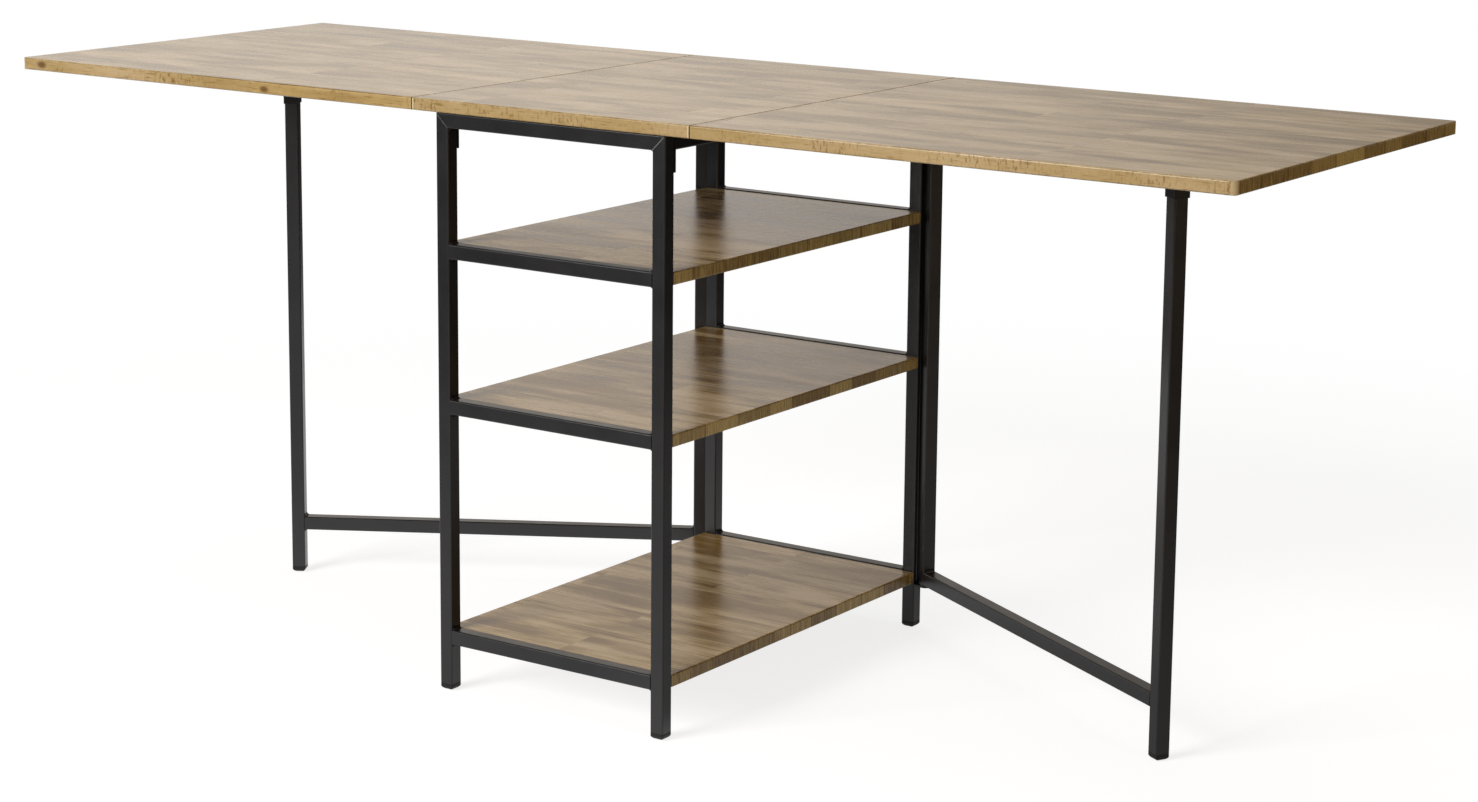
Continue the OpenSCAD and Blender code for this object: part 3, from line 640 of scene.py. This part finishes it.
def frame_fillets():
    """Corner lines between rails and posts, and between side rails and their end plates. They stop short of
    the tubes' corners, and the top rails' upper corners are mitred."""
    inset = 2.5 * MM
    lines = []
    for end in ("front", "rear"):
        for rail in ("top", "upper", "middle", "lower"):
            low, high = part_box(f"{end}_{rail}_rail")
            y0, y1 = low.y + inset, high.y - inset
            for side in ("left", "right"):
                post_low, post_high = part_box(f"{end}_{side}_post")
                x = post_high.x if side == "left" else post_low.x
                heights = [low.z] if rail == "top" else [low.z, high.z]
                lines += [((x, y0, z), (x, y1, z)) for z in heights]
    for side in ("left", "right"):
        low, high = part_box(f"{side}_side_rail")
        lines += [((low.x + inset, y, low.z), (high.x - inset, y, low.z)) for y in (low.y, high.y)]
    return lines


def mitre_seams(side):
    """Diagonals of the mitred corners at one side, on the outer and the inner face of each end frame. They
    start inside the rounded corner."""
    corner = 2.2 * MM
    lines = []
    for end in ("front", "rear"):
        rail_low, rail_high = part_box(f"{end}_top_rail")
        post_low, post_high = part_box(f"{end}_{side}_post")
        outer, inner = (post_low.x, post_high.x) if side == "left" else (post_high.x, post_low.x)
        start = outer + (corner if side == "left" else -corner)
        for y in (post_low.y, post_high.y):
            lines.append(((start, y, rail_high.z - corner), (inner, y, rail_low.z)))
    return lines


def gate_fillets(side):
    """Corner lines, 14 mm long, between a gate's rails, its leg and its hinge tube."""
    tube_low, tube_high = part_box(f"{side}_gate_hinge_tube")
    leg_low, leg_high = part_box(f"{side}_gate_foot")
    axis = (tube_low + tube_high) / 2
    leg = (leg_low + leg_high) / 2
    way = Vector((leg.x - axis.x, leg.y - axis.y, 0)).normalized()
    across = Vector((-way.y, way.x, 0)) * 7 * MM
    half = (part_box("front_left_post")[1].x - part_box("front_left_post")[0].x) / 2
    low_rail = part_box(f"{side}_gate_low_rail")
    top_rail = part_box(f"{side}_gate_top_rail")
    at_tube = Vector((axis.x, axis.y, 0)) + way * half
    at_leg = Vector((leg.x, leg.y, 0)) - way * half
    places = [(at_tube, low_rail[1].z), (at_tube, top_rail[0].z), (at_leg, low_rail[0].z),
              (at_leg, low_rail[1].z), (at_leg, top_rail[0].z)]
    return [[spot + Vector((0, 0, z)) + across * k for k in (-1, 1)] for spot, z in places]


class TABLE_OT_lay_welds(bpy.types.Operator):
    """Lays the weld beads in the corners of the frame and of both gates"""
    bl_idname = "table.lay_welds"
    bl_label = "Lay welds"

    def execute(self, context):
        s = context.scene.table_welds
        tree = bead_tree()
        coat = bpy.data.materials["black_powder_coat"]
        # Painted highlight: the powder coat again, in the pale grey that draws the light line on the right
        # mitre seams
        seam_highlight = powder_coat(context.scene.table_coat, "thin_powder_coat_on_ground_weld", s.ground)

        # A fillet has hollow sides, and a ground seam hardly. The seams at the right get a pale grey coat, a
        # painted highlight along them
        fillet = (s.fillet, s.fillet * 0.5)
        seam = (s.seam, s.seam * 0.92)
        jobs = [("frame_fillet_welds", "frame", frame_fillets(), fillet, coat),
                ("frame_left_mitre_welds", "frame", mitre_seams("left"), seam, coat),
                ("frame_right_mitre_welds", "frame", mitre_seams("right"), seam, seam_highlight),
                ("left_gate_welds", "left_gate", gate_fillets("left"), fillet, coat),
                ("right_gate_welds", "right_gate", gate_fillets("right"), fillet, coat)]
        for name, body, lines, (radius, hollow), material in jobs:
            piece = line_piece(name, lines)
            modifier = piece.modifiers.new("weld", "NODES")
            modifier.node_group = tree
            set_inputs(modifier, Bead_radius=radius, Hollow_radius=hollow, Ripple_pitch=s.pitch,
                       Ripple_depth=s.depth, Material=material)
            applied(piece)
            piece.data.shade_smooth()
            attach(piece, body)
        return {"FINISHED"}


def lamp(name, place, size, power, colour=(1.0, 1.0, 1.0)):
    """A square lamp that points at the table and that the camera doesn't see."""
    data = bpy.data.lights.new(name, "AREA")
    data.shape, data.size, data.energy, data.color = "SQUARE", size, power, colour
    light = bpy.data.objects.new(name, data)
    light.location = place
    light.rotation_mode = "QUATERNION"
    light.rotation_quaternion = (Vector(AIM) - Vector(place)).to_track_quat("-Z", "Y")
    light.visible_camera = False
    bpy.context.scene.collection.objects.link(light)


def room_colour(tree, way, s):
    """What a reflection sees of the room in a direction: a white wall low down behind the left, warmer higher
    up, a paler patch at the front right, and little light from the right."""
    behind_left = (-0.966, 0.26, 0.0)
    front_right = (0.3, -0.954, 0.0)
    unit = add(tree, "ShaderNodeVectorMath", way, operation="NORMALIZE")
    x, _, z = add(tree, "ShaderNodeSeparateXYZ", unit).outputs
    wall = add(tree, "ShaderNodeVectorMath", unit, behind_left, operation="DOT_PRODUCT")
    wall = add(tree, "ShaderNodeMapRange", wall, 0.46, 0.84, 0.0, 0.88, interpolation_type="SMOOTHSTEP")
    patch = add(tree, "ShaderNodeVectorMath", unit, front_right, operation="DOT_PRODUCT")
    patch = add(tree, "ShaderNodeMapRange", patch, 0.8, 1.0, 0.0, 0.9, interpolation_type="SMOOTHSTEP")
    side = add(tree, "ShaderNodeMapRange", x, -0.6, 0.2, 0.25, 0.12, interpolation_type="SMOOTHSTEP")
    level = add(tree, "ShaderNodeMath", patch, side, operation="ADD")
    level = add(tree, "ShaderNodeMath", wall, level, operation="ADD")
    high = add(tree, "ShaderNodeMapRange", z, 0.15, 0.7, 1.0, 0.3, interpolation_type="SMOOTHSTEP")
    level = add(tree, "ShaderNodeMath", level, high, operation="MULTIPLY")
    warm = add(tree, "ShaderNodeMapRange", z, 0.08, 0.22, 0.0, 1.0, interpolation_type="SMOOTHSTEP")
    colour = add(tree, "ShaderNodeMix", warm, WHITE, rgba(s.wall_colour), data_type="RGBA")
    return add(tree, "ShaderNodeVectorMath", colour, level, operation="SCALE")


def plain_share(tree, rays):
    """1 for the rays that see plain white, those of the camera and those that pass through glass."""
    return add(tree, "ShaderNodeMath", rays["Is Camera Ray"], rays["Is Transmission Ray"],
               operation="MAXIMUM")


class TABLE_OT_set_stage(bpy.types.Operator):
    """Makes the floor, the room, the lamps and the camera"""
    bl_idname = "table.set_stage"
    bl_label = "Set stage"

    def execute(self, context):
        s = context.scene.table_stage
        self.make_floor(s)
        self.light_room(s)
        lamp("key_lamp", s.key_place, s.key_size, s.key_power)
        lamp("top_lamp", s.top_place, s.key_size, s.top_power)
        lamp("side_lamp", s.side_place, s.side_size, s.side_power, s.side_colour)
        self.place_camera(s)
        context.scene.view_settings.view_transform = "Standard"
        return {"FINISHED"}

    def make_floor(self, s):
        """A painted floor, which keeps the shadow and fades to plain white far from the table."""
        material, tree = new_material("pale_painted_floor")
        where = add(tree, "ShaderNodeTexCoord").outputs["Object"]
        mottle = add(tree, "ShaderNodeTexNoise", where, Scale=1 / (330 * MM))
        level = add(tree, "ShaderNodeMapRange", mottle, 0.0, 1.0, 0.995, 1.005)
        colour = add(tree, "ShaderNodeVectorMath", s.floor_colour, level, operation="SCALE")
        paint = add(tree, "ShaderNodeBsdfDiffuse", colour)
        lift = add(tree, "ShaderNodeEmission", WHITE, s.floor_lift)
        lifted = add(tree, "ShaderNodeAddShader", paint, lift)

        # Distances from the middle of the table, in metres, over which each of these fades
        shadow_fades, glow_fades, room_dims = (1.1, 2.6), (1.2, 2.1), (1.9, 2.8)
        distance = add(tree, "ShaderNodeVectorMath", where, operation="LENGTH")
        away = add(tree, "ShaderNodeMapRange", distance, *shadow_fades, 0.0, 1.0,
                   interpolation_type="SMOOTHSTEP")
        white = add(tree, "ShaderNodeEmission", WHITE, 1.0)
        shown = add(tree, "ShaderNodeMixShader", away, lifted, white)

        # Reflections see it brightly lit round the table, less so at the right, and dim further off
        x = add(tree, "ShaderNodeSeparateXYZ", where).outputs["X"]
        left = add(tree, "ShaderNodeMapRange", x, -0.3, 0.3, 0.85, 0.4, interpolation_type="SMOOTHSTEP")
        near = add(tree, "ShaderNodeMapRange", distance, *glow_fades, left, 0.0,
                   interpolation_type="SMOOTHSTEP")
        far = add(tree, "ShaderNodeMapRange", distance, *room_dims, 1.0, 0.1,
                  interpolation_type="SMOOTHSTEP")
        seen = add(tree, "ShaderNodeVectorMath", room_colour(tree, where, s), far, operation="SCALE")
        seen = add(tree, "ShaderNodeVectorMath", seen, near, operation="MAXIMUM")
        gloss = add(tree, "ShaderNodeEmission", seen, 1.0)
        rays = add(tree, "ShaderNodeLightPath").outputs
        other = add(tree, "ShaderNodeMixShader", rays["Is Glossy Ray"], paint, gloss)
        surface = add(tree, "ShaderNodeMixShader", plain_share(tree, rays), other, shown)
        add(tree, "ShaderNodeOutputMaterial", surface)

        count = 96
        turns = [math.tau * i / count for i in range(count)]
        rim = [(s.floor_radius * math.cos(turn), s.floor_radius * math.sin(turn), 0) for turn in turns]
        mesh = bpy.data.meshes.new("floor")
        mesh.from_pydata(rim, [], [tuple(range(count))])
        mesh.materials.append(material)
        floor = bpy.data.objects.new("floor", mesh)
        bpy.context.scene.collection.objects.link(floor)

    def light_room(self, s):
        """White for the camera. Reflections see the room, and other rays an even grey of the room light's
        strength."""
        world = bpy.data.worlds.new("room")
        world.use_nodes = True
        tree = world.node_tree
        tree.nodes.clear()
        room = room_colour(tree, add(tree, "ShaderNodeTexCoord").outputs["Generated"], s)
        rays = add(tree, "ShaderNodeLightPath").outputs
        even = (s.room_light, s.room_light, s.room_light, 1.0)
        colour = add(tree, "ShaderNodeMix", rays["Is Glossy Ray"], even, room, data_type="RGBA")
        colour = add(tree, "ShaderNodeMix", plain_share(tree, rays), colour, WHITE, data_type="RGBA")
        add(tree, "ShaderNodeOutputWorld", add(tree, "ShaderNodeBackground", colour, 1.0))
        bpy.context.scene.world = world

    def place_camera(self, s):
        """The photograph's viewpoint, with its turn, tilt and roll."""
        yaw, pitch, roll = (math.radians(angle) for angle in (s.yaw, s.pitch, s.roll))
        level = math.cos(pitch)
        ahead = Vector((-math.sin(yaw) * level, math.cos(yaw) * level, math.sin(pitch)))
        right = Vector((math.cos(yaw), math.sin(yaw), 0))
        up = right.cross(ahead)
        rolled_right = math.cos(roll) * right + math.sin(roll) * up
        rolled_up = math.cos(roll) * up - math.sin(roll) * right
        turned = (rolled_right, rolled_up, -ahead)
        data = bpy.data.cameras.new("camera")
        data.sensor_width, data.lens, data.shift_y = 36.0, s.lens, s.shift
        data.clip_start, data.clip_end = 0.05, 200.0
        camera = bpy.data.objects.new("camera", data)
        camera.matrix_world = Matrix.Translation(s.eye) @ Matrix(turned).transposed().to_4x4()
        bpy.context.scene.collection.objects.link(camera)
        bpy.context.scene.camera = camera


class TABLE_PT_finishes(bpy.types.Panel):
    """Lists the steps that finish the table"""
    bl_idname = "TABLE_PT_finishes"
    bl_label = "Drop-leaf table"
    bl_space_type = "VIEW_3D"
    bl_region_type = "UI"
    bl_category = "Table"

    def draw(self, context):
        for kind in OPERATORS:
            self.layout.operator(kind.bl_idname)


OPERATORS = [TABLE_OT_laminate_boards, TABLE_OT_powder_coat, TABLE_OT_mould_plastics, TABLE_OT_plate_fittings,
             TABLE_OT_lay_welds, TABLE_OT_set_stage]
SETTINGS = {"table_laminate": LaminateSettings, "table_coat": PowderCoatSettings, "table_welds": WeldSettings,
            "table_plastic": PlasticSettings, "table_zinc": ZincSettings, "table_stage": StageSettings}


def register():
    for kind in [*SETTINGS.values(), *OPERATORS, TABLE_PT_finishes]:
        bpy.utils.register_class(kind)
    for name, kind in SETTINGS.items():
        setattr(bpy.types.Scene, name, PointerProperty(type=kind))


def unregister():
    for name in SETTINGS:
        delattr(bpy.types.Scene, name)
    for kind in reversed([*SETTINGS.values(), *OPERATORS, TABLE_PT_finishes]):
        bpy.utils.unregister_class(kind)


def main():
    register()
    bpy.ops.table.laminate_boards()
    bpy.ops.table.powder_coat()
    bpy.ops.table.mould_plastics()
    bpy.ops.table.plate_fittings()
    bpy.ops.table.lay_welds()
    bpy.ops.table.set_stage()


if __name__ == "__main__":
    main()
